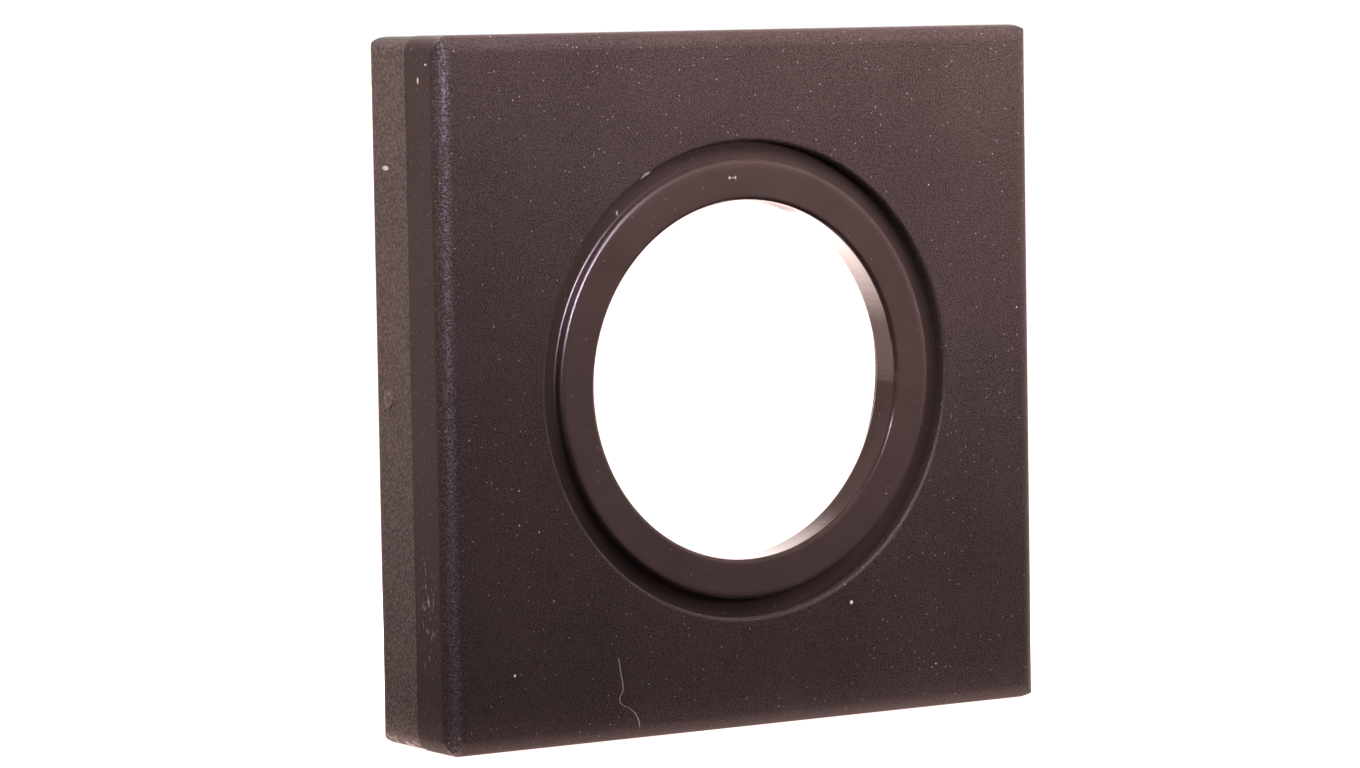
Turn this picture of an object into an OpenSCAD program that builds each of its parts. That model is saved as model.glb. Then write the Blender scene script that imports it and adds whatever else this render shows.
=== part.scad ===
// Negative carrier for 35 mm film: two moulded halves hinged like a book, with a
// round window. The film runs top to bottom between a sprung plate in the front
// half and a gate with two rails in the rear half.
// X is to the right, Y is away from the viewer and Z is up. The origin is where the
// optical axis meets the film plane. The block stands on its lower edge.

/* [Block] */
// Width of the front half
block_w = 50.4; // [49:0.1:62]
// Height of the front half
block_h = 50; // [49:0.5:62]
// Thickness of the front half, from its face to the film plane
front_t = 4.7; // [4.6:0.1:7]
// Thickness of the rear half, from the film plane to its back
rear_t = 5.3; // [4.6:0.1:8]
// How far the rear half's outline lies inside the front half's
rear_inset = 0.05; // [0.05:0.05:0.3]
// Gap between the two halves where they meet
seam_gap = 0.1; // [0.02:0.01:0.12]
// Radius of the upright corners and of the edges round the front face
front_edge_r = 1.2; // [0.6:0.1:1.6]
// Radius of the edges round the back
rear_edge_r = 0.8; // [0.4:0.1:1.2]
// Thickness of the four outer walls
wall = 1.8; // [1.4:0.1:2.2]
// Thickness of the front and back walls
face_t = 1.6; // [1.4:0.1:1.9]

/* [Window] */
// Diameter of the window in the aperture ring
window_d = 25.7; // [20:0.1:27]
// Length of the window's wall, with its two rounded edges
window_len = 2.85; // [2.5:0.05:2.95]
// Width of the ring's flat rim
rim_w = 2.9; // [2.2:0.1:3]
// How far the rim lies below the front face
rim_below = 0.2; // [0.05:0.05:0.4]
// Width of the groove round the rim
groove_w = 1.3; // [0.8:0.1:1.6]
// Depth of the groove's floor below the front face
groove_depth = 0.9; // [0.6:0.1:0.9]
// Radius of the rim's outer edge and of the window's front edge
rim_edge_r = 0.35; // [0.1:0.05:0.35]
// Radius of the window's back edge
window_back_r = 0.5; // [0.1:0.05:0.6]
// Radius of the hollow between the rim's wall and the groove's floor
rim_foot_r = 0.25; // [0.1:0.05:0.3]
// Radius of the edge where the front face turns down into the groove
groove_edge_r = 0.3; // [0.1:0.05:0.5]
// Thickness of the ring's flange, whose front face is the groove's floor
flange_t = 0.6; // [0.5:0.1:0.7]
// Wall of the short tail that reaches into the pressure plate
tail_wall = 1.05; // [0.8:0.05:1.2]

/* [Film] */
// Width of the film strip
film_w = 35; // [34.9:0.05:35.1]
// Side to side freedom of the film in its channel
film_play = 0.3; // [0.2:0.05:0.5]
// Distance between the rails and the pressure plate at rest
film_gap = 0.2; // [0.16:0.02:0.3]
// Thickness of the ribs at both sides of the channel
guide_t = 1.2; // [0.8:0.1:1.4]
// Depth of the film slot in each half
slot_depth = 0.5; // [0.3:0.05:0.8]
// Flare of the film slot at its mouth
slot_flare = 0.3; // [0.1:0.05:0.4]

/* [Film gate] */
// Diameter of the opening in the film gate
gate_open_d = 30; // [29.8:0.1:30.2]
// Thickness of the film gate
gate_t = 0.7; // [0.6:0.05:0.9]
// Height of the rails above the film gate
rail_h = 0.5; // [0.4:0.05:0.6]
// Width of each rail
rail_w = 2.1; // [1.6:0.1:2.1]
// Length of the ramp at each end of a rail
rail_ramp = 0.8; // [0.4:0.1:1.2]
// Angle of the light funnel behind the gate, from the optical axis
funnel_angle = 38; // [34:1:38]
// Wall of the light funnel
funnel_wall = 1.2; // [0.9:0.1:1.2]
// Radius of the round recess that seats the carrier on a stage
register_r = 18.6; // [18.4:0.1:18.8]
// Depth of that recess
register_depth = 0.8; // [0.6:0.1:1]

/* [Pressure plate] */
// Thickness of the pressure plate
plate_t = 1.2; // [1.1:0.05:1.3]
// Clearance of the plate from the guide ribs, on each side
plate_clear = 0.15; // [0.1:0.01:0.2]
// Clearance round the ring's tail
tail_clear = 0.35; // [0.25:0.05:0.4]
// Travel of the plate against its springs
plate_travel = 0.5; // [0.3:0.05:0.5]
// Outside diameter of the springs
spring_d = 2.9; // [2.6:0.1:3]
// Diameter of the spring wire
spring_wire = 0.3; // [0.2:0.02:0.32]
// Turns of each spring
spring_turns = 3; // [2:0.5:3]

/* [Hinge and magnets] */
// Diameter of the hinge pin
pin_d = 1.5; // [1.2:0.1:1.6]
// Radius of the hinge knuckles
knuckle_r = 1.6; // [1.5:0.1:1.8]
// Length of the hinge
hinge_len = 28; // [20:1:29]
// Gap between neighbouring knuckles
knuckle_gap = 0.15; // [0.1:0.05:0.3]
// Clearance round a knuckle in the other half
knuckle_clear = 0.25; // [0.2:0.05:0.4]
// Radial clearance of the pin in the front half
pin_clear = 0.05; // [0.02:0.01:0.08]
// Diameter of the magnets
magnet_d = 3; // [2.5:0.1:3.4]
// Thickness of the magnets
magnet_t = 1.5; // [1:0.1:1.8]

/* [Hidden] */
$fn = 96;

// Clearance of pieces that are pressed or screwed into place
seat = 0.02;
// Extra length of a cut past a face
past = 1;
// How far a rib or boss runs into the wall that carries it
root = 0.3;
// Distance between parts that lie side by side and never touch
side_gap = 0.1;

// Planes across the optical axis
face_y = -front_t;
front_floor_y = face_y + face_t;
rim_y = face_y + rim_below;
ring_end_y = rim_y + window_len;
plate_face_y = -film_gap;
plate_back_y = plate_face_y - plate_t;
gate_face_y = rail_h;
gate_back_y = gate_face_y + gate_t;
rear_floor_y = rear_t - face_t;

// Outlines
rear_w = block_w - 2 * rear_inset;
rear_h = block_h - 2 * rear_inset;
channel_x = (film_w + film_play) / 2;
rib_x = channel_x + guide_t;
inner_x = block_w / 2 - rear_inset - wall;
inner_z = block_h / 2 - rear_inset - wall;

// Velvet light traps just inside the film slots
velvet_h = 3.4;
velvet_t = 0.7;
velvet_clear = 0.1;
velvet_in_z = inner_z - side_gap - velvet_h;
ledge_z = velvet_in_z - side_gap;
front_velvet_y = -film_gap - velvet_clear / 2;
rear_velvet_y = velvet_clear;

// Ring, gate and funnel
window_r = window_d / 2;
rim_r = window_r + rim_w;
groove_r = rim_r + groove_w;
groove_y = face_y + groove_depth;
ledge_y = groove_y + flange_t;
ledge_in_r = groove_r - 0.9;
collar_r = groove_r + 1.2;
collar_end_y = front_floor_y + 0.7;
tail_r = window_r + tail_wall;
plate_open_r = tail_r + tail_clear;
gate_open_r = gate_open_d / 2;
funnel_r = gate_open_r + side_gap;
funnel_end_r = funnel_r + tan(funnel_angle) * (rear_t - register_depth - gate_back_y);

// Pressure plate, its screws and its springs
plate_x = channel_x - plate_clear;
plate_z = ledge_z - 0.6;
plate_lead = 0.4;
screw_inset = 3.2;
plate_screws = [for (i = [-1, 1], k = [-1, 1]) [i * (plate_x - screw_inset), k * (plate_z - screw_inset)]];
head_r = 1.2;
head_t = 0.5;
head_sunk = 0.15;
shoulder_r = 0.7;
shoulder_clear = 0.05;
thread_r = 0.5;
thread_len = 1.6;
spring_boss_r = 1;
spring_boss_h = 0.7;
boss_top_y = front_floor_y + spring_boss_h;
head_seat_y = plate_face_y - head_sunk - head_t;
slot_w = 0.35;
slot_cut = 0.25;

// Film gate, its rails and its screws
gate_x = channel_x - plate_clear;
gate_z = ledge_z - 0.2;
rail_x = gate_x - side_gap;
rail_in_x = rail_x - rail_w;
gate_head_r = 1.15;
gate_head_t = 0.45;
gate_thread_r = 0.6;
gate_screw_len = 2.2;
gate_screws_at = [for (i = [-1, 1], k = [-1, 1])
    [i * (rail_in_x - gate_head_r - 1.5), k * (gate_z - gate_head_r - 1)]];
gate_boss_r = 1.6;

// Hinge, on the right-hand outer face at the film plane
hinge_x = block_w / 2;
knuckles = 5;
knuckle_pitch = hinge_len / knuckles;
hinge_block_w = 4.4;
hinge_block_z = hinge_len / 2 + 0.6;
pin_short = 0.3;

// Magnets, between the film channel and the left-hand wall
magnet_x = -(rib_x - guide_t / 2 + inner_x + wall / 2) / 2;
magnet_z = block_h / 2 - wall - magnet_d / 2 - 0.7;
magnet_wall = 1.1;
magnet_sunk = 0.05;
magnet_glue = 0.05;

// Marks of moulding: where the gate was cut off and where the ejector pins pushed
stub_r = 0.55;
stub_h = 0.08;
stub_y = 3.2;
stub_z = -0.5;
pin_mark_r = 1.1;
pin_mark_h = 0.1;
pin_marks = [[-1, 9], [-1, -9], [1, 18.5], [1, -18.5]];
pin_mark_x = (rib_x + inner_x) / 2;

moulding = [0.16, 0.13, 0.13];
satin = [0.12, 0.1, 0.1];
steel = [0.72, 0.72, 0.74];
anodised = [0.2, 0.2, 0.22];
velvet = [0.05, 0.05, 0.06];
nickel = [0.78, 0.76, 0.7];

// A flat shape in X and Z, given thickness from one Y to another
module from_y(y0, y1) {
    translate([0, y1, 0]) rotate([90, 0, 0]) linear_extrude(y1 - y0) children();
}

// A flat shape in Y and Z, given width from one X to another
module from_x(x0, x1) {
    translate([x0, 0, 0]) rotate([90, 0, 90]) linear_extrude(x1 - x0) children();
}

// A block between two opposite corners
module block(low, high) {
    translate(low) cube(high - low);
}

// A round bar along Y at a place in X and Z
module bar_y(at, r, y0, y1) {
    translate([at[0], y0, at[1]]) rotate([-90, 0, 0]) cylinder(r = r, h = y1 - y0);
}

// A round bar along Z on the hinge axis
module bar_hinge(r, z0, z1) {
    translate([hinge_x, 0, z0]) cylinder(r = r, h = z1 - z0);
}

// A profile of radius and Y, turned about the optical axis
module turned() {
    rotate([-90, 0, 0]) rotate_extrude() children();
}

// Points of a quarter round of radius r about a centre, from angle a0 to a1
function arc(centre, r, a0, a1, steps = 6) =
    [for (i = [0:steps]) let (a = a0 + (a1 - a0) * i / steps) centre + r * [cos(a), sin(a)]];

// A rectangle with four round corners
module round_rect(w, h, r) {
    square([w - 2 * r, h], center = true);
    square([w, h - 2 * r], center = true);
    for (i = [-1, 1], k = [-1, 1]) translate([i * (w / 2 - r), k * (h / 2 - r)]) circle(r);
}

// The section of a tray's outside: w wide and t deep, with its two face corners round
module tray_section(w, t, r) {
    translate([-w / 2, r]) square([w, t - r]);
    translate([-w / 2 + r, 0]) square([w - 2 * r, t]);
    for (i = [-1, 1]) translate([i * (w / 2 - r), r]) circle(r);
}

// A tray's outside, with its face at Y = 0 and its open side at Y = t
module tray(w, h, t, corner_r, edge_r) {
    intersection() {
        from_y(0, t) round_rect(w, h, corner_r);
        translate([0, 0, -h / 2]) linear_extrude(h) tray_section(w, t, edge_r);
        from_x(-w / 2, w / 2) mirror([1, 0]) rotate(90) tray_section(h, t, edge_r);
    }
}

// The film slot through the upper and lower walls of one half, which flares at its
// mouth. side is -1 for the front half and 1 for the rear half.
module film_slots(side, half_h) {
    for (k = [-1, 1])
        from_x(-channel_x, channel_x)
            polygon([
                [-side * past, k * ledge_z],
                [side * slot_depth, k * ledge_z],
                [side * slot_depth, k * (half_h - slot_flare)],
                [side * (slot_depth + slot_flare), k * half_h],
                [side * (slot_depth + slot_flare), k * (half_h + past)],
                [-side * past, k * (half_h + past)]
            ]);
}

// Ribs beside the film channel, from one Y to another
module guide_ribs(y0, y1) {
    for (i = [-1, 1])
        block([min(i * channel_x, i * rib_x), y0, -inner_z - root],
            [max(i * channel_x, i * rib_x), y1, inner_z + root]);
}

// Ledges that carry the velvet strips, from one Y to another
module ledges(y0, y1) {
    for (k = [-1, 1])
        block([-channel_x - root, y0, min(k * ledge_z, k * (inner_z + root))],
            [channel_x + root, y1, max(k * ledge_z, k * (inner_z + root))]);
}

// Raised marks that the ejector pins left on the floor of a half
module ejector_marks(y0, y1) {
    for (p = pin_marks) bar_y([p[0] * pin_mark_x, p[1]], pin_mark_r, y0, y1);
}

// Every second knuckle, starting from first, each made wider and longer by the given amounts
module knuckle_row(first, wider, longer) {
    for (i = [first:2:knuckles - 1])
        bar_hinge(knuckle_r + wider,
            -hinge_len / 2 + i * knuckle_pitch + knuckle_gap / 2 - longer,
            -hinge_len / 2 + (i + 1) * knuckle_pitch - knuckle_gap / 2 + longer);
}

module front_shell() {
    color(moulding) difference() {
        union() {
            difference() {
                translate([0, face_y, 0])
                    tray(block_w, block_h, front_t - seam_gap, front_edge_r, front_edge_r);
                block([-inner_x, front_floor_y, -inner_z], [inner_x, past, inner_z]);
            }
            guide_ribs(front_floor_y - root, -seam_gap);
            ledges(front_floor_y - root, front_velvet_y - velvet_t);
            bar_y([0, 0], collar_r, front_floor_y - root, collar_end_y);
            for (at = plate_screws) bar_y(at, spring_boss_r, front_floor_y - root, boss_top_y);
            for (k = [-1, 1])
                bar_y([magnet_x, k * magnet_z], magnet_d / 2 + magnet_wall, front_floor_y - root, -seam_gap);
            block([hinge_x - hinge_block_w, front_floor_y - root, -hinge_block_z],
                [hinge_x - wall / 2, -seam_gap, hinge_block_z]);
            ejector_marks(front_floor_y - root, front_floor_y + pin_mark_h);
            knuckle_row(1, 0, 0);
        }
        knuckle_row(0, knuckle_clear, knuckle_gap);
        bar_hinge(pin_d / 2 + pin_clear, -hinge_len / 2, hinge_len / 2);
        film_slots(-1, block_h / 2);
        turned() polygon(concat(
            [[0, face_y - past], [groove_r + groove_edge_r, face_y - past]],
            arc([groove_r + groove_edge_r, face_y + groove_edge_r], groove_edge_r, 270, 180),
            [[groove_r, ledge_y], [ledge_in_r, ledge_y], [ledge_in_r, past], [0, past]]
        ));
        for (at = plate_screws) bar_y(at, thread_r + seat, boss_top_y - thread_len, past);
        for (k = [-1, 1])
            bar_y([magnet_x, k * magnet_z], magnet_d / 2 + seat,
                -seam_gap - magnet_sunk - magnet_t - magnet_glue, past);
    }
}

// Smooth ring with the window: a rim level with the face, a flange that fills the
// bottom of the groove and rests on the front half's ledge, a spigot in the ledge and
// a short tail
module aperture_ring() {
    color(satin) turned() polygon(concat(
        arc([window_r + rim_edge_r, rim_y + rim_edge_r], rim_edge_r, 180, 270),
        arc([rim_r - rim_edge_r, rim_y + rim_edge_r], rim_edge_r, 270, 360),
        arc([rim_r + rim_foot_r, groove_y - rim_foot_r], rim_foot_r, 180, 90),
        [
            [groove_r - seat, groove_y],
            [groove_r - seat, ledge_y - seat],
            [ledge_in_r - seat, ledge_y - seat],
            [ledge_in_r - seat, collar_end_y],
            [tail_r, collar_end_y],
            [tail_r, ring_end_y]
        ],
        arc([window_r + window_back_r, ring_end_y - window_back_r], window_back_r, 90, 180)
    ));
}

// Plate that presses the film on its rails. Its upper and lower edges are bevelled so
// that the film runs in under them.
module pressure_plate() {
    color(anodised) difference() {
        from_x(-plate_x, plate_x) polygon([
            [plate_back_y, -plate_z],
            [plate_face_y - plate_lead, -plate_z],
            [plate_face_y, -plate_z + 2 * plate_lead],
            [plate_face_y, plate_z - 2 * plate_lead],
            [plate_face_y - plate_lead, plate_z],
            [plate_back_y, plate_z]
        ]);
        bar_y([0, 0], plate_open_r, plate_back_y - past, plate_face_y + past);
        for (at = plate_screws) {
            bar_y(at, shoulder_r + shoulder_clear, plate_back_y - past, past);
            bar_y(at, head_r + side_gap, head_seat_y, past);
        }
    }
}

// Four shoulder screws that the plate slides on. Their heads are its stop.
module shoulder_screws() {
    color(steel) for (at = plate_screws) difference() {
        union() {
            bar_y(at, head_r, head_seat_y, head_seat_y + head_t);
            bar_y(at, shoulder_r, boss_top_y, head_seat_y + root);
            bar_y(at, thread_r, boss_top_y - thread_len + seat, boss_top_y + root);
        }
        translate([at[0] - slot_w / 2, head_seat_y + head_t - slot_cut, at[1] - head_r - past])
            cube([slot_w, past, 2 * (head_r + past)]);
    }
}

// A spring round one shoulder screw, between the front wall and the plate
module pressure_spring(number) {
    wire_r = spring_wire / 2;
    coil_r = spring_d / 2 - wire_r;
    low_y = front_floor_y + wire_r;
    high_y = plate_back_y - wire_r;
    sides = 8;
    rings = ceil(spring_turns * 14);
    points = [for (i = [0:rings], k = [0:sides - 1])
        let (turn = 360 * spring_turns * i / rings)
        let (side = 360 * k / sides)
        let (r = coil_r + wire_r * cos(side))
        [r * cos(turn), low_y + (high_y - low_y) * i / rings + wire_r * sin(side), r * sin(turn)]];
    skin = [for (i = [0:rings - 1], k = [0:sides - 1])
        let (next = (k + 1) % sides)
        [i * sides + k, (i + 1) * sides + k, (i + 1) * sides + next, i * sides + next]];
    start = [for (k = [0:sides - 1]) k];
    end = [for (k = [sides - 1:-1:0]) rings * sides + k];
    at = plate_screws[number - 1];
    color(steel) translate([at[0], 0, at[1]]) polyhedron(points, concat(skin, [start, end]));
}

module magnet(y0, k) {
    color(nickel) bar_y([magnet_x, k * magnet_z], magnet_d / 2, y0, y0 + magnet_t);
}

module front_magnet(k) {
    magnet(-seam_gap - magnet_sunk - magnet_t, k);
}

module rear_magnet(k) {
    magnet(magnet_sunk, k);
}

// A velvet strip across the film channel, from one Y to another. k is 1 at the top.
module velvet_strip(y0, k) {
    color(velvet)
        block([-channel_x + side_gap, y0, min(k * velvet_in_z, k * (velvet_in_z + velvet_h))],
            [channel_x - side_gap, y0 + velvet_t, max(k * velvet_in_z, k * (velvet_in_z + velvet_h))]);
}

module rear_shell() {
    color(moulding) difference() {
        union() {
            difference() {
                translate([0, rear_t, 0]) mirror([0, 1, 0])
                    tray(rear_w, rear_h, rear_t, front_edge_r, rear_edge_r);
                block([-inner_x, -past, -inner_z], [inner_x, rear_floor_y, inner_z]);
            }
            guide_ribs(0, rear_floor_y + root);
            ledges(rear_velvet_y + velvet_t, rear_floor_y + root);
            turned() polygon([
                [0, gate_back_y],
                [funnel_r + funnel_wall, gate_back_y],
                [funnel_end_r + funnel_wall, rear_t - register_depth],
                [0, rear_t - register_depth]
            ]);
            for (at = gate_screws_at) bar_y(at, gate_boss_r, gate_back_y, rear_floor_y + root);
            for (k = [-1, 1])
                bar_y([magnet_x, k * magnet_z], magnet_d / 2 + magnet_wall, 0, rear_floor_y + root);
            block([hinge_x - hinge_block_w, 0, -hinge_block_z],
                [hinge_x - wall / 2, rear_floor_y + root, hinge_block_z]);
            ejector_marks(rear_floor_y - pin_mark_h, rear_floor_y + root);
            knuckle_row(0, 0, 0);
            translate([-rear_w / 2 - stub_h, stub_y, stub_z]) rotate([0, 90, 0])
                cylinder(r = stub_r, h = wall);
        }
        knuckle_row(1, knuckle_clear, knuckle_gap);
        bar_hinge(pin_d / 2, -hinge_len / 2, hinge_len / 2);
        film_slots(1, rear_h / 2);
        turned() polygon([
            [0, gate_back_y - past],
            [funnel_r, gate_back_y - past],
            [funnel_r, gate_back_y],
            [funnel_end_r, rear_t - register_depth],
            [register_r, rear_t - register_depth],
            [register_r, rear_t + past],
            [0, rear_t + past]
        ]);
        for (at = gate_screws_at)
            bar_y(at, gate_thread_r + seat, gate_face_y, gate_face_y + gate_head_t + gate_screw_len);
        for (k = [-1, 1])
            bar_y([magnet_x, k * magnet_z], magnet_d / 2 + seat, -past, magnet_sunk + magnet_t + magnet_glue);
    }
}

// Metal plate with the round opening, screwed down on the mouth of the light funnel
module film_gate() {
    color(anodised) difference() {
        block([-gate_x, gate_face_y, -gate_z], [gate_x, gate_back_y, gate_z]);
        bar_y([0, 0], gate_open_r, gate_face_y - past, gate_back_y + past);
        for (at = gate_screws_at) {
            bar_y(at, gate_thread_r + seat, gate_face_y - past, gate_back_y + past);
            countersink(at, seat);
        }
    }
}

// The cone of a countersunk head, made wider by the given amount
module countersink(at, wider) {
    translate([at[0], gate_face_y, at[1]]) rotate([-90, 0, 0])
        cylinder(r1 = gate_head_r + wider, r2 = gate_thread_r + wider, h = gate_head_t);
}

// Four countersunk screws that hold the film gate
module gate_screws() {
    color(steel) for (at = gate_screws_at) difference() {
        union() {
            countersink(at, 0);
            bar_y(at, gate_thread_r, gate_face_y + gate_head_t / 2, gate_face_y + gate_head_t + gate_screw_len - seat);
        }
        translate([at[0] - gate_head_r - past, gate_face_y - past, at[1] - slot_w / 2])
            cube([2 * (gate_head_r + past), past + slot_cut, slot_w]);
    }
}

// A polished rail that carries one edge of the film, with a ramp at each end. i is 1 on the right.
module film_rail(i) {
    color(steel) from_x(min(i * rail_in_x, i * rail_x), max(i * rail_in_x, i * rail_x)) polygon([
        [gate_face_y, -gate_z],
        [gate_face_y / 2, -gate_z],
        [0, -gate_z + rail_ramp],
        [0, gate_z - rail_ramp],
        [gate_face_y / 2, gate_z],
        [gate_face_y, gate_z]
    ]);
}

module hinge_pin() {
    color(steel) bar_hinge(pin_d / 2, -hinge_len / 2 + pin_short, hinge_len / 2 - pin_short);
}

front_shell();
aperture_ring();
pressure_plate();
shoulder_screws();
pressure_spring(1);  // pressure_spring_1
pressure_spring(2);  // pressure_spring_2
pressure_spring(3);  // pressure_spring_3
pressure_spring(4);  // pressure_spring_4
front_magnet(1);  // front_magnet_upper
front_magnet(-1);  // front_magnet_lower
velvet_strip(front_velvet_y - velvet_t, 1);  // front_velvet_top
velvet_strip(front_velvet_y - velvet_t, -1);  // front_velvet_bottom
rear_shell();
film_gate();
film_rail(-1);  // film_rail_left
film_rail(1);  // film_rail_right
gate_screws();
rear_magnet(1);  // rear_magnet_upper
rear_magnet(-1);  // rear_magnet_lower
velvet_strip(rear_velvet_y, 1);  // rear_velvet_top
velvet_strip(rear_velvet_y, -1);  // rear_velvet_bottom
hinge_pin();
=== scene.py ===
import math
import random

import bmesh
import bpy
from mathutils import Matrix, Vector


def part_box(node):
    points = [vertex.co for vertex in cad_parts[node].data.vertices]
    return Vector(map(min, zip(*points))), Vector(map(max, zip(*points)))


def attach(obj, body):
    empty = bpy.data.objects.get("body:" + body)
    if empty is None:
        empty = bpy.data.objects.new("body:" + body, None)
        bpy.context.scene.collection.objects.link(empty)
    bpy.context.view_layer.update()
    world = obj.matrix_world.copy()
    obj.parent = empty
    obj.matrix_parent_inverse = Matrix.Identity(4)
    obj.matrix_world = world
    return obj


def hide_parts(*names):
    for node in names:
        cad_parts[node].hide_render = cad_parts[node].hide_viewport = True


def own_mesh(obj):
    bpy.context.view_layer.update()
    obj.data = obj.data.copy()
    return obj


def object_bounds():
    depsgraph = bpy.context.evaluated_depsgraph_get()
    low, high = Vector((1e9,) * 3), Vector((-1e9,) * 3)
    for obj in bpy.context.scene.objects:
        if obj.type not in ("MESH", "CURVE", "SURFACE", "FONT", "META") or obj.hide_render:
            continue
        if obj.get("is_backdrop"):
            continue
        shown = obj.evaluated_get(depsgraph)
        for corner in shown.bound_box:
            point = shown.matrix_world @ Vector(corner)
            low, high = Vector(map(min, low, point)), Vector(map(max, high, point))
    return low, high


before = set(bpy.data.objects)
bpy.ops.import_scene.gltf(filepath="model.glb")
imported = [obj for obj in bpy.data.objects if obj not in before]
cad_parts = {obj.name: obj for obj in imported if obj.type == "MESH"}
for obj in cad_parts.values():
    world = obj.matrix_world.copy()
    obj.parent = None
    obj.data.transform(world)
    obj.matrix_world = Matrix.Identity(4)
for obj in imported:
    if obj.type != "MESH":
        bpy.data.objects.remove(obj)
cad_low, cad_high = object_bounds()
mm = 0.001

# Camera: a long macro lens that looks at the front face from the left and from a
# little above. Distances are in metres and angles in degrees.
to_left, above, tilt = 32.61, 4.05, 0.97
distance, lens, frame_shift = 0.3629, 134.5, -0.0101
aim = Vector((-0.00418, -0.00196, 0.0008))
turn, dip, roll = math.radians(to_left), math.radians(above), math.radians(tilt)
ahead = Vector((math.sin(turn) * math.cos(dip), math.cos(turn) * math.cos(dip), -math.sin(dip)))
level = Vector((math.cos(turn), -math.sin(turn), 0))
upright = level.cross(ahead)
right = level * math.cos(roll) - upright * math.sin(roll)
up = level * math.sin(roll) + upright * math.cos(roll)
camera = bpy.data.objects.new("camera", bpy.data.cameras.new("camera"))
camera.data.lens, camera.data.sensor_width, camera.data.shift_y = lens, 36, frame_shift
camera.data.clip_start, camera.data.clip_end = 0.01, 20
axes = Matrix((right, up, -ahead)).transposed().to_4x4()
camera.matrix_world = Matrix.Translation(aim - ahead * distance) @ axes
bpy.context.scene.collection.objects.link(camera)
bpy.context.scene.camera = camera


# Rear shell: the back tray of the block, moulded in black plastic. A spark-eroded
# mould gives it a coarse wrinkled grain, whose tops are painted paler on the left
# side as light falling on that side. The stub of its gate was cut off there.
class Value:
    """A number or colour in a material's tree. Arithmetic on it adds Math nodes."""

    def __init__(self, finish, socket):
        self.finish, self.socket = finish, socket

    def math(self, operation, *others):
        return self.finish.node("Math", {"operation": operation}, dict(enumerate((self, *others))))

    def __add__(self, other):
        return self.math("ADD", other)

    def __sub__(self, other):
        return self.math("SUBTRACT", other)

    def __mul__(self, other):
        return self.math("MULTIPLY", other)

    def ramp(self, low, high, start=0.0, end=1.0):
        """start below low, end above high, and a smooth rise between them."""
        limits = {"From Min": low, "From Max": high, "To Min": start, "To Max": end}
        return self.finish.node("MapRange", {"interpolation_type": "SMOOTHSTEP"}, {"Value": self, **limits})

    def near(self, middle, reach):
        """1 at the middle value, falling to 0 at reach on both sides of it."""
        return (self - middle).math("ABSOLUTE").ramp(0, reach, 1, 0)


class Finish:
    """A material with one Principled shader, and the nodes that feed it."""

    def __init__(self, name, **constants):
        self.material = bpy.data.materials.new(name)
        self.material.use_nodes = True
        self.tree = self.material.node_tree
        self.shader = next(n for n in self.tree.nodes if n.type == "BSDF_PRINCIPLED")
        for socket, value in constants.items():
            self.shader.inputs[socket.replace("_", " ")].default_value = value
        place = self.node("TexCoord", output="Object")
        self.place = self.vectors("SCALE", place, Scale=1 / mm)
        self.x, self.y, self.z = (self.node("SeparateXYZ", {}, {0: self.place}, axis) for axis in "XYZ")

    def node(self, kind, settings=None, inputs=None, output=0):
        """Adds a node. Its settings go in first, then the values or links of its sockets."""
        made = self.tree.nodes.new("ShaderNode" + kind)
        for setting, value in (settings or {}).items():
            setattr(made, setting, value)
        for socket, value in (inputs or {}).items():
            if isinstance(value, Value):
                self.tree.links.new(value.socket, made.inputs[socket])
            else:
                made.inputs[socket].default_value = value
        return Value(self, made.outputs[output])

    def vectors(self, operation, first, second=None, output="Vector", **inputs):
        """Vector maths on one or two places."""
        sockets = {0: first, **inputs}
        if second is not None:
            sockets[1] = second
        return self.node("VectorMath", {"operation": operation}, sockets, output)

    def mix(self, share, below, above):
        """The colour below, covered by the colour above as far as share says."""
        return self.node("Mix", {"data_type": "RGBA"}, {0: share, 6: below, 7: above}, 2)

    def noise(self, size, detail=2.0, roughness=0.5, place=None):
        """Cloudy noise whose patches are size mm across."""
        inputs = {"Vector": place or self.place, "Scale": 1 / size, "Detail": detail, "Roughness": roughness}
        return self.node("TexNoise", {}, inputs)

    def stretched(self, x=1.0, y=1.0, z=1.0, angles=(0.0, 0.0, 0.0)):
        """The place turned by angles and then scaled along each axis."""
        return self.node("Mapping", {}, {"Vector": self.place, "Rotation": angles, "Scale": (x, y, z)})

    def specks(self, spacing, size, share, place=None):
        """Specks of the given size, in a share of the cells of a random lattice."""
        cells = {"Vector": place or self.place, "Scale": 1 / spacing}
        away = self.node("TexVoronoi", {}, cells, "Distance")
        chance = self.node("SeparateColor", {}, {0: self.node("TexVoronoi", {}, cells, "Color")})
        reach = size / spacing
        return away.ramp(reach * 0.5, reach, 1, 0) * chance.ramp(share - 0.01, share, 1, 0)

    def patch(self, centre, size, angle=0.0):
        """One soft-edged oval at a centre. size is its half width along x, y and z."""
        moved = self.vectors("SUBTRACT", self.place, centre)
        turned = self.node("VectorRotate", {"rotation_type": "Y_AXIS"}, {"Vector": moved, "Angle": angle})
        scaled = self.vectors("DIVIDE", turned, size)
        return self.vectors("LENGTH", scaled, output="Value").ramp(0.6, 1.0, 1, 0)

    def bump(self, height, depth, below=None):
        """A normal from a height of 0 to 1, with depth in mm, on top of an earlier normal."""
        inputs = {"Strength": 1.0, "Distance": depth * mm, "Height": height}
        if below:
            inputs["Normal"] = below
        return self.node("Bump", {}, inputs)

    def soft_edges(self, radius):
        """A normal that rounds every sharp edge to a radius in mm."""
        return self.node("Bevel", {"samples": 6}, {"Radius": radius * mm})

    def feed(self, **links):
        for socket, value in links.items():
            self.tree.links.new(value.socket, self.shader.inputs[socket.replace("_", " ")])


dust_colour = (0.62, 0.55, 0.53, 1)


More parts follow.
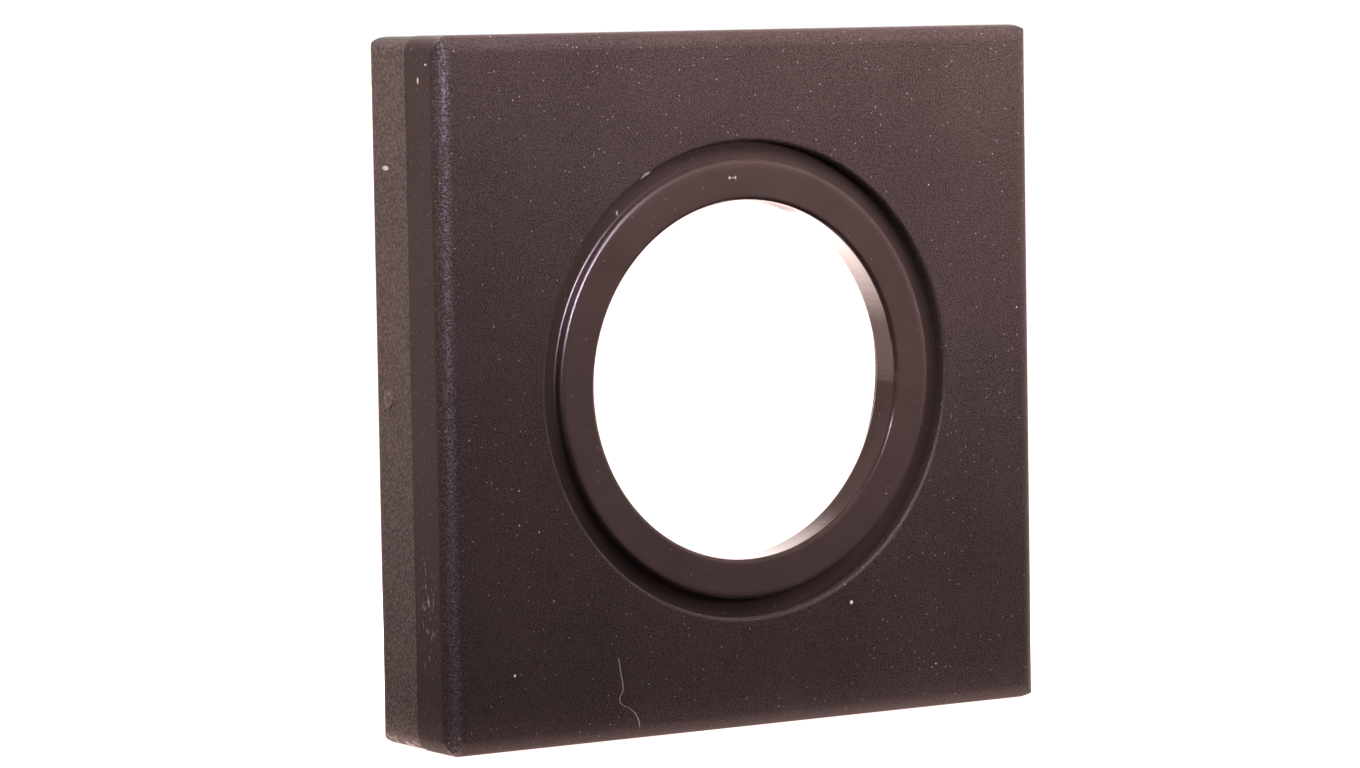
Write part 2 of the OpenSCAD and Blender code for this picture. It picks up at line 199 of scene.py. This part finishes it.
def dust_on(finish, amount=1.0):
    """A mask for what settles on black plastic: fine grit, a few crumbs and short fibres."""
    drift = finish.noise(9, 2).ramp(0.4, 0.65, 0.35, 1.0)
    grit = finish.specks(0.4, 0.07, 0.22 * amount) * 0.2
    grit = grit + finish.specks(1.3, 0.08, 0.35 * amount) * drift * 0.5
    crumbs = finish.specks(3.1, 0.085, 0.2 * amount) * drift * 0.8
    bent = finish.noise(1.3, 1) * 2.2
    fibres = grit * 0
    for number, angle in enumerate((0.4, 1.5, 2.6)):
        along = finish.stretched(1, 1, 0.13, (0.2, angle, 0.1 + number))
        fibres = fibres + finish.specks(2.4, 0.04, 0.07 * amount, finish.vectors("ADD", along, bent)) * 0.55
    return (grit + crumbs + fibres).math("MINIMUM", 1.0)


def finish_moulding(finish, plastic, roughness, marks, normal):
    """Feeds a moulded finish: its own colour and roughness, with pale dust and marks over them."""
    pale = (dust_on(finish) + marks).math("MINIMUM", 1.0)
    finish.feed(
        Base_Color=finish.mix(pale, plastic, dust_colour),
        Roughness=pale.ramp(0, 1, 0, 0.25) + roughness,
        Normal=normal,
    )


def dress(node, finish):
    """Gives a CAD node its finish."""
    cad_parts[node].material_slots[0].material = finish.material


coarse = Finish("coarse_moulding", Specular_IOR_Level=0.4, Specular_Tint=(1, 0.85, 0.82, 1))
worms = coarse.noise(0.2, 2, 0.55)
mottle = coarse.noise(7, 3)
grain_tone = worms.ramp(0.42, 0.6, 0.0, 0.8) + mottle * 0.35
# Painted light: the grain tops on the left side are paler than on the other faces, as light falling on that
# side.
lit_left_side = coarse.x.ramp(-24.5, -24.9)
left_lit_grain_tops = coarse.mix(lit_left_side, (0.046, 0.0370, 0.0340, 1), (0.108, 0.0840, 0.0755, 1))
black = coarse.mix(grain_tone, (0.011, 0.0087, 0.0081, 1), left_lit_grain_tops)
oval = coarse.patch((-25.2, 2.95, 15.8), (0.5, 0.5, 0.19)) * 1.6
stub = (-25.2, 3.2, -0.35)
gate_mark = coarse.patch(stub, (0.5, 0.75, 0.75)) - coarse.patch(stub, (0.5, 0.55, 0.55))
gate_grit = coarse.noise(0.25, 2).ramp(0.5, 0.7) * coarse.patch((-25.2, 3.2, -0.4), (0.5, 0.8, 0.8))
# Pale noisy patches along the bottom edges of the shell.
pale_bottom_band = coarse.noise(0.5, 3).ramp(0.5, 0.65) * coarse.z.ramp(-24.0, -24.8) * 0.6
marks = oval + gate_mark * 0.12 + gate_grit * 0.3 + pale_bottom_band
grain = coarse.bump(worms, 0.05, coarse.soft_edges(0.08))
finish_moulding(coarse, black, worms.ramp(0.3, 0.7, 0.5, 0.62), marks, grain)
dress("rear_shell", coarse)

# Film gate: a flat plate of black anodised aluminium with the round opening, held
# by four countersunk screws. Milling left it a fine one-way grain.
anodised = Finish("black_anodised", Metallic=0.6, Specular_IOR_Level=0.4)
milled = anodised.noise(0.5, 3, 0.6, anodised.stretched(0.06, 1, 1.6))
pores = anodised.noise(0.08, 2, 0.6)
anodised.feed(
    Base_Color=anodised.mix(milled, (0.016, 0.016, 0.018, 1), (0.034, 0.034, 0.037, 1)),
    Roughness=pores.ramp(0.3, 0.7, 0.38, 0.5) + milled * 0.08,
    Normal=anodised.bump(pores, 0.006, anodised.soft_edges(0.06)),
)
dress("film_gate", anodised)

steel = Finish("turned_steel", Metallic=1.0)
turned_lines = steel.noise(0.06, 2, 0.5, steel.stretched(0.3, 1, 1))
smears = steel.noise(1.2, 2)
steel.feed(
    Base_Color=steel.mix(smears, (0.42, 0.42, 0.43, 1), (0.56, 0.55, 0.54, 1)),
    Roughness=smears.ramp(0.3, 0.7, 0.28, 0.36) + turned_lines * 0.08,
    Normal=steel.bump(turned_lines, 0.004, steel.soft_edges(0.08)),
)
dress("gate_screws", steel)

# Film rails: two polished strips of stainless steel that carry the film's edges.
# The film has drawn fine bright lines along them.
rail_steel = Finish("polished_steel", Metallic=1.0)
drawn = rail_steel.noise(0.1, 2, 0.6, rail_steel.stretched(1, 1, 0.02))
haze = rail_steel.noise(2.5, 2)
rail_steel.feed(
    Base_Color=rail_steel.mix(drawn, (0.55, 0.55, 0.56, 1), (0.68, 0.67, 0.66, 1)),
    Roughness=drawn.ramp(0.35, 0.65, 0.12, 0.2) + haze * 0.06,
    Normal=rail_steel.bump(drawn, 0.003, rail_steel.soft_edges(0.08)),
)
for side in ("left", "right"):
    dress("film_rail_" + side, rail_steel)

# Magnets of the rear half: nickel plated discs glued in round pockets beside the
# film channel. Their rims are broken and the plating is a little clouded.
nickel = Finish("nickel_plate", Metallic=1.0)
clouded = nickel.noise(0.9, 3, 0.6)
pits = nickel.specks(0.45, 0.05, 0.2)
nickel.feed(
    Base_Color=nickel.mix(clouded, (0.60, 0.56, 0.50, 1), (0.70, 0.67, 0.62, 1)),
    Roughness=clouded.ramp(0.35, 0.65, 0.14, 0.24) + pits * 0.2,
    Normal=nickel.bump(pits, -0.008),
)


def turned_piece(name, profile, centre, along, sides=96):
    """A solid turned about an axis through centre. profile gives (radius, distance along the
    axis) in metres, from the axis at one end to the axis at the other."""
    direction = Vector(along)
    across = direction.orthogonal().normalized()
    third = direction.cross(across)
    ring_points = []
    for radius, reach in profile:
        angles = [2 * math.pi * k / sides for k in range(sides if radius > 0 else 1)]
        spokes = [across * math.cos(a) + third * math.sin(a) for a in angles]
        ring_points.append([centre + direction * reach + spoke * radius for spoke in spokes])
    work = bmesh.new()
    rings = [[work.verts.new(point) for point in ring] for ring in ring_points]
    for low_ring, high_ring in zip(rings, rings[1:]):
        for k in range(sides):
            corners = [low_ring[k % len(low_ring)], low_ring[(k + 1) % len(low_ring)]]
            corners += [high_ring[(k + 1) % len(high_ring)], high_ring[k % len(high_ring)]]
            work.faces.new(dict.fromkeys(corners))
    bmesh.ops.recalc_face_normals(work, faces=work.faces)
    for face in work.faces:
        face.smooth = True
    mesh = bpy.data.meshes.new(name)
    work.to_mesh(mesh)
    work.free()
    mesh.set_sharp_from_angle(angle=math.radians(50))
    piece = bpy.data.objects.new(name, mesh)
    bpy.context.scene.collection.objects.link(piece)
    return piece


def fit(piece, node, body, finish):
    """Gives a piece its finish and puts it in the place of its CAD node."""
    piece.data.materials.append(finish.material)
    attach(piece, body)
    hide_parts(node)


def rounded_bar(radius, length, edge, steps=5):
    """The profile of a bar whose two rims are rounded."""
    turns = [math.pi / 2 * k / steps for k in range(steps + 1)]
    start = [(radius - edge + edge * math.sin(a), edge - edge * math.cos(a)) for a in turns]
    end = [(r, length - reach) for r, reach in reversed(start)]
    return [(0, 0), *start, *end, (0, length)]


def magnet(node, body):
    low, high = (Vector(corner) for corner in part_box(node))
    middle = (low + high) / 2
    centre = Vector((middle.x, low.y, middle.z))
    profile = rounded_bar((high.x - low.x) / 2, high.y - low.y, 0.15 * mm)
    fit(turned_piece("disc_" + node, profile, centre, (0, 1, 0)), node, body, nickel)


for level_name in ("upper", "lower"):
    magnet("rear_magnet_" + level_name, "rear_half")

# Velvet strips of the rear half: short black pile on a thin tape, glued across the
# film channel to keep light out. The pile is crowned and brushed one way.
velvet = Finish(
    "black_velvet",
    Roughness=0.95,
    Specular_IOR_Level=0.1,
    Sheen_Weight=0.08,
    Sheen_Roughness=0.4,
)
pile = velvet.noise(0.07, 2, 0.6)
brushed = velvet.noise(1.8, 2, 0.5, velvet.stretched(1, 1, 0.4))
lint = velvet.specks(1.1, 0.05, 0.1)
pile_black = velvet.mix(pile * 0.6 + brushed * 0.4, (0.004, 0.004, 0.005, 1), (0.022, 0.021, 0.023, 1))
velvet.feed(
    Base_Color=velvet.mix(lint * 0.5, pile_black, (0.5, 0.46, 0.44, 1)),
    Normal=velvet.bump(pile, 0.05),
)


def velvet_strip(node, body, facing):
    """A strip with a soft crowned pile. facing is the side of the pile, -1 or 1 along Y."""
    low, high = (Vector(corner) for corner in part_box(node))
    length, thick, width = high - low
    draw = random.Random(node)
    tape, crown, ruffle = 0.35 * thick, 0.35 * thick, 0.035 * mm
    end_slope, side_slope = 12, 6
    columns, rows = 180, 18
    work = bmesh.new()
    top, bottom = [], []
    for i in range(columns + 1):
        u = i / columns
        top_row, bottom_row = [], []
        for j in range(rows + 1):
            v = j / rows
            edge = min(1, end_slope * min(u, 1 - u) * length / width, side_slope * min(v, 1 - v))
            arch = math.sqrt(max(0, 1 - (2 * v - 1) ** 2))
            height = tape + (thick - tape - crown) * edge + crown * arch * edge
            height = min(height + ruffle * draw.uniform(-1, 0.2) * edge, thick)
            back = low.y if facing > 0 else high.y
            across = Vector((low.x + length * u, back, low.z + width * v))
            bottom_row.append(work.verts.new(across))
            top_row.append(work.verts.new(across + Vector((0, facing * max(height, tape), 0))))
        top.append(top_row)
        bottom.append(bottom_row)
    for i in range(columns):
        for j in range(rows):
            for sheet in (top, bottom):
                work.faces.new((sheet[i][j], sheet[i + 1][j], sheet[i + 1][j + 1], sheet[i][j + 1]))
    for i in range(columns):
        for j in (0, rows):
            work.faces.new((top[i][j], top[i + 1][j], bottom[i + 1][j], bottom[i][j]))
    for j in range(rows):
        for i in (0, columns):
            work.faces.new((top[i][j], top[i][j + 1], bottom[i][j + 1], bottom[i][j]))
    bmesh.ops.recalc_face_normals(work, faces=work.faces)
    for face in work.faces:
        face.smooth = True
    mesh = bpy.data.meshes.new("pile_" + node)
    work.to_mesh(mesh)
    work.free()
    mesh.set_sharp_from_angle(angle=math.radians(60))
    piece = bpy.data.objects.new("pile_" + node, mesh)
    bpy.context.scene.collection.objects.link(piece)
    fit(piece, node, body, velvet)


for end in ("top", "bottom"):
    velvet_strip("rear_velvet_" + end, "rear_half", -1)

# Hinge pin: a ground steel pin pressed into the rear half's knuckles, with both of
# its ends chamfered so that it starts straight.
low, high = (Vector(corner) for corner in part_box("hinge_pin"))
pin_radius, pin_length, chamfer = (high.x - low.x) / 2, high.z - low.z, 0.25 * mm
pin_profile = [(0, 0), (pin_radius - chamfer, 0), (pin_radius, chamfer)]
pin_profile += [(pin_radius, pin_length * k / 6) for k in range(1, 6)]
pin_profile += [(pin_radius, pin_length - chamfer), (pin_radius - chamfer, pin_length), (0, pin_length)]
pin_foot = Vector(((low.x + high.x) / 2, (low.y + high.y) / 2, low.z))
pin = turned_piece("ground_pin", pin_profile, pin_foot, (0, 0, 1), 64)
fit(pin, "hinge_pin", "rear_half", rail_steel)

# Front shell: the front tray, moulded like the rear one but with a finer, blacker
# grain. Handling has burnished its left edge and scuffed its side, and dust and a
# fibre of lint lie on its face.
fine = Finish("fine_moulding", Specular_IOR_Level=0.2, Specular_Tint=(1, 0.74, 0.72, 1), Coat_Roughness=0.33)
stipple = fine.noise(0.13, 2, 0.6)
clouds = fine.noise(11, 3)
tone = stipple.ramp(0.35, 0.65, 0.0, 0.7) + clouds * 0.5
# Painted shade: a dark band along the front shell's edge at the seam with the rear half.
painted_seam_shade = fine.y.ramp(-0.28, -0.12) * 0.8
black = fine.mix(tone, (0.008, 0.0055, 0.0052, 1), (0.040, 0.0275, 0.0265, 1))
black = fine.mix(painted_seam_shade, black, (0.002, 0.0015, 0.0015, 1))
on_face = fine.y.ramp(-4.66, -4.69)
hair_low, hair_high, hair_left = -24.9, -19.0, -11.9
along_hair = (fine.z - hair_low) * (1 / (hair_high - hair_low))
hair_curve = fine.node("FloatCurve", {}, {"Value": along_hair})
bends = hair_curve.socket.node.mapping.curves[0].points
hair_places = [(0.0, 0.80), (0.16, 0.90), (0.28, 0.80), (0.38, 0.55)]
hair_places += [(0.49, 0.20), (0.61, 0.32), (0.81, 0.26), (1.0, 0.18)]
bends[0].location, bends[-1].location = hair_places[0], hair_places[-1]
for place in hair_places[1:-1]:
    bends.new(*place)
hair_curve.socket.node.mapping.update()
hair_line = (fine.x - hair_left - hair_curve * 2.3).math("ABSOLUTE").ramp(0.02, 0.06, 1, 0)
hair = hair_line * fine.z.ramp(hair_low, hair_low + 0.1) * fine.z.ramp(hair_high, hair_high - 0.1) * on_face
crumb_places = {
    (-20.0, -4.7, -19.55): (0.12, 0.3, 0.12),
    (8.5, -4.7, -16.6): (0.16, 0.3, 0.16),
    (-25.1, -1.9, 21.9): (0.3, 0.16, 0.3),
    (-25.1, -3.0, 23.0): (0.4, 0.2, 0.09),
}
crumbs = fine.patch((-8.5, -4.6, 14.85), (0.55, 0.4, 0.22), 0.6) * 0.5
for crumb_centre, crumb_size in crumb_places.items():
    crumbs = crumbs + fine.patch(crumb_centre, crumb_size)
rub = fine.noise(0.35, 3, 0.6, fine.stretched(1, 1, 0.35)).ramp(0.56, 0.68)
rub = rub * fine.x.ramp(-24.9, -25.1) * fine.z.near(-15, 5.5) * fine.y.near(-1.8, 1.6)
low_side = fine.specks(0.9, 0.07, 0.45) * fine.x.ramp(-22.5, -25.0) * 0.4
marks = hair * 0.32 + crumbs + rub * 0.7 + low_side
grain = fine.bump(stipple, 0.06, fine.soft_edges(0.08))
finish_moulding(fine, black, stipple.ramp(0.3, 0.7, 0.42, 0.54), marks, grain)
worn_edge = fine.x.ramp(-23.9, -24.5) * fine.y.ramp(-3.5, -4.1)
fine.feed(Coat_Weight=fine.noise(0.17, 2, 0.6).ramp(0.48, 0.58) * worn_edge)
dress("front_shell", fine)

# Magnets and velvet strips of the front half: the same discs and tape as in the
# rear half, glued in opposite them.
for level_name in ("upper", "lower"):
    magnet("front_magnet_" + level_name, "front_half")
for end in ("top", "bottom"):
    velvet_strip("front_velvet_" + end, "front_half", 1)

# Aperture ring: a smooth black moulding pressed into the front shell. Its rim is
# satin and a little dished, and the wall of its window is polished, with faint
# streaks along it.
satin = Finish("satin_moulding", Specular_IOR_Level=0.5, Specular_Tint=(1, 0.8, 0.78, 1))
from_axis = satin.vectors("LENGTH", satin.vectors("MULTIPLY", satin.place, (1, 0, 1)), output="Value")
window_radius, rim_radius = 12.85, 15.2
polished = from_axis.ramp(window_radius + 0.1, window_radius + 0.3, 1, 0)
swirl = satin.noise(5, 3, 0.6).ramp(0.25, 0.75)
streaks = satin.noise(0.35, 3, 0.6, satin.stretched(1, 0.12, 1))
uneven = satin.bump(satin.noise(0.5, 2), 0.002)
dished = satin.bump(from_axis.math("MINIMUM", rim_radius) - window_radius, 0.06, uneven)
specks = dust_on(satin, 0.5)
bow = satin.patch((-1.1, -4.5, 14.5), (0.3, 0.3, 0.045))
for bow_end in (-1.35, -0.85):
    bow = bow + satin.patch((bow_end, -4.5, 14.5), (0.1, 0.3, 0.16))
chip = satin.patch((-10.4, -4.2, 12.3), (0.16, 0.6, 0.32))
pale = (specks + bow * 0.35 + chip * 0.8).math("MINIMUM", 1.0)
ring_black = satin.mix(swirl, (0.031, 0.0210, 0.0200, 1), (0.039, 0.0262, 0.0252, 1))
satin.feed(
    Base_Color=satin.mix(pale, ring_black, dust_colour),
    Roughness=pale.ramp(0, 1, 0, 0.3) + polished.ramp(0, 1, 0.285, 0.1) + swirl * 0.04,
    Normal=satin.bump(streaks * satin.y.ramp(-4.0, -3.7) * polished, 0.008, dished),
)
dress("aperture_ring", satin)

# Pressure plate and its four shoulder screws: the plate is milled and anodised like
# the film gate, and slides on the screws' turned shoulders under their heads.
dress("pressure_plate", anodised)
dress("shoulder_screws", steel)

# Pressure springs: music wire wound three times round each screw, with the last
# half turn at both ends closed down flat.
wire_steel = Finish("spring_wire", Metallic=1.0)
wire_drawn = wire_steel.noise(0.12, 2, 0.6, wire_steel.stretched(1, 3, 1))
oil = wire_steel.noise(0.8, 2)
wire_steel.feed(
    Base_Color=wire_steel.mix(oil, (0.40, 0.38, 0.34, 1), (0.58, 0.56, 0.52, 1)),
    Roughness=wire_drawn.ramp(0.35, 0.65, 0.28, 0.36),
    Normal=wire_steel.bump(wire_drawn, 0.004),
)
spring_turns, closed_turns, closed_rise = 3.0, 0.55, 0.12
wire_radius = 0.15 * mm
for number in range(1, 5):
    node = f"pressure_spring_{number}"
    low, high = (Vector(corner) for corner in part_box(node))
    middle = (low + high) / 2
    coil_radius = (high.x - low.x) / 2 - wire_radius
    foot, head = low.y + wire_radius, high.y - wire_radius
    steps, around = int(spring_turns * 48), 16
    spokes = [2 * math.pi * k / around for k in range(around)]
    work = bmesh.new()
    rings = []
    for i in range(steps + 1):
        turns = spring_turns * i / steps
        rise = min(max((turns - closed_turns) / (spring_turns - 2 * closed_turns), 0), 1)
        rise = closed_rise * turns / spring_turns + (1 - closed_rise) * rise * rise * (3 - 2 * rise)
        angle = 2 * math.pi * turns
        outward = Vector((math.cos(angle), 0, math.sin(angle)))
        centre = Vector((middle.x, foot + (head - foot) * rise, middle.z)) + outward * coil_radius
        sides = [outward * math.cos(a) + Vector((0, math.sin(a), 0)) for a in spokes]
        tip = 0.75 if i in (0, steps) else 1
        rings.append([work.verts.new(centre + side * wire_radius * tip) for side in sides])
    for ring, following in zip(rings, rings[1:]):
        for k in range(around):
            beside = (k + 1) % around
            work.faces.new((ring[k], ring[beside], following[beside], following[k]))
    work.faces.new(rings[0])
    work.faces.new(rings[-1])
    bmesh.ops.recalc_face_normals(work, faces=work.faces)
    for face in work.faces:
        face.smooth = len(face.verts) == 4
    mesh = bpy.data.meshes.new("coil_" + node)
    work.to_mesh(mesh)
    work.free()
    coil = bpy.data.objects.new("coil_" + node, mesh)
    bpy.context.scene.collection.objects.link(coil)
    fit(coil, node, "front_half", wire_steel)
    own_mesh(coil)

# Table: a sheet of white acrylic lit from below, brightest behind the object. Two
# black cards lie on it, out of sight, and keep its light off the face and the side.
def flat_sheet(name, low, high, height):
    mesh = bpy.data.meshes.new(name)
    corners = [(low[0], low[1]), (high[0], low[1]), (high[0], high[1]), (low[0], high[1])]
    mesh.from_pydata([(x, y, height) for x, y in corners], [], [(0, 1, 2, 3)])
    sheet = bpy.data.objects.new(name, mesh)
    bpy.context.scene.collection.objects.link(sheet)
    sheet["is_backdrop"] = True
    return sheet


table_half = 3.0
table = flat_sheet("table", (-table_half, -table_half), (table_half, table_half), cad_low[2])
acrylic = Finish("white_acrylic", Roughness=0.9, Emission_Strength=1.0)
glow_centre = (21, 48, cad_low[2] / mm)
from_glow = acrylic.vectors("DISTANCE", acrylic.place, glow_centre, "Value")
lit = from_glow.ramp(9, 50, 1, 0)
acrylic.feed(
    Base_Color=acrylic.mix(acrylic.noise(40), (0.34, 0.34, 0.34, 1), (0.38, 0.38, 0.38, 1)),
    Emission_Color=acrylic.mix(lit, (1.4, 1.06, 1.0, 1), (7.6, 6.3, 5.9, 1)),
)
table.data.materials.append(acrylic.material)

felt = Finish("black_felt", Roughness=1.0, Specular_IOR_Level=0.0)
felt.feed(Base_Color=felt.mix(felt.noise(2), (0.004, 0.004, 0.004, 1), (0.008, 0.008, 0.008, 1)))
card_gap, card_thickness = 1.5 * mm, 0.3 * mm
in_front, beside = cad_low[1] - card_gap, cad_low[0] - card_gap
cards = {
    "front_card": ((beside, -0.5), (0.3, in_front)),
    "side_card": ((-0.3, -0.5), (beside, 0.058)),
}
for name, (near, far) in cards.items():
    card = flat_sheet(name, near, far, cad_low[2] + card_thickness)
    card.visible_camera = False
    card.data.materials.append(felt.material)

# The tent is brightest straight ahead of the camera, dim in front of the object and
# dimmer still overhead. Its back is a clearer white than its warm sides. A camera
# ray always sees plain white.
ahead_glow, side_glow, front_glow = 3.2, 0.5, 0.2
world = bpy.data.worlds.new("tent")
world.use_nodes = True
tent = world.node_tree
tent.nodes.clear()


def tent_node(kind, settings=None, inputs=None):
    """Adds a node to the tent's tree, with its settings and the values or links of its sockets."""
    made = tent.nodes.new("ShaderNode" + kind)
    for setting, value in (settings or {}).items():
        setattr(made, setting, value)
    for socket, value in (inputs or {}).items():
        if isinstance(value, bpy.types.NodeSocket):
            tent.links.new(value, made.inputs[socket])
        else:
            made.inputs[socket].default_value = value
    return made.outputs


def tent_rise(value, low, high, start, end):
    limits = {"From Min": low, "From Max": high, "To Min": start, "To Max": end}
    return tent_node("MapRange", {"interpolation_type": "SMOOTHSTEP"}, {"Value": value, **limits})[0]


direction = tent_node("TexCoord")["Generated"]
onward = (math.sin(turn), math.cos(turn), 0)
facing = tent_node("VectorMath", {"operation": "DOT_PRODUCT"}, {0: direction, 1: onward})["Value"]
to_side = tent_rise(facing, -0.4, 0.3, front_glow, side_glow)
to_back = tent_rise(facing, 0.68, 0.88, 0, ahead_glow - side_glow)
height = tent_node("SeparateXYZ", {}, {0: direction})["Z"]
overhead = tent_rise(height, 0.5, 0.8, 1, 0.2)
to_side = tent_node("Math", {"operation": "MULTIPLY"}, {0: to_side, 1: overhead})[0]
to_back = tent_node("Math", {"operation": "MULTIPLY"}, {0: to_back, 1: overhead})[0]
warm = tent_node("Background", {}, {"Color": (1, 0.72, 0.68, 1), "Strength": to_side})[0]
clear = tent_node("Background", {}, {"Color": (1, 0.9, 0.88, 1), "Strength": to_back})[0]
glow = tent_node("AddShader", {}, {0: warm, 1: clear})[0]
white = tent_node("Background", {}, {"Color": (1, 1, 1, 1), "Strength": 1.05})[0]
seen = tent_node("LightPath")["Is Camera Ray"]
sky = tent_node("MixShader", {}, {0: seen, 1: glow, 2: white})[0]
tent_node("OutputWorld", {}, {"Surface": sky})
bpy.context.scene.world = world
bpy.context.scene.view_settings.view_transform = "Standard"


def softbox(name, place, target, size, power, colour):
    """A soft rectangular light at a place, turned to face a target."""
    light = bpy.data.lights.new(name, "AREA")
    light.shape, light.size, light.size_y = "RECTANGLE", *size
    light.energy, light.color = power, colour
    lamp = bpy.data.objects.new(name, light)
    towards = (Vector(target) - Vector(place)).to_track_quat("-Z", "Y").to_matrix().to_4x4()
    lamp.matrix_world = Matrix.Translation(place) @ towards
    lamp.visible_camera = False
    bpy.context.scene.collection.objects.link(lamp)
    return lamp


# Lights: a warm strip close above the face fills its upper right, and a tall cool
# softbox at the front left draws the highlights on the edges. Two weak fills lift
# the right of the face and the left side, and show in no reflection.
warm_white, cool_white = (1, 0.9, 0.9), (0.8, 0.78, 1)
strip = softbox("strip", (0.045, -0.022, 0.043), (0.045, -0.022, 0), (0.16, 0.036), 0.215, warm_white)
strip.visible_glossy = False
window_light = softbox("window_light", (-0.107, -0.107, 0.129), (0, 0, 0), (0.028, 0.18), 1.85, cool_white)
window_light.visible_diffuse = False
fill = softbox("fill", (0.075, -0.045, 0.022), (0.018, 0, 0.01), (0.03, 0.05), 0.085, warm_white)
fill.visible_glossy = False
left_fill = softbox("left_fill", (-0.2, 0.03, 0.06), (-0.025, 0.004, 0), (0.08, 0.1), 0.26, (1, 0.82, 0.79))
left_fill.visible_glossy = False

low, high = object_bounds()
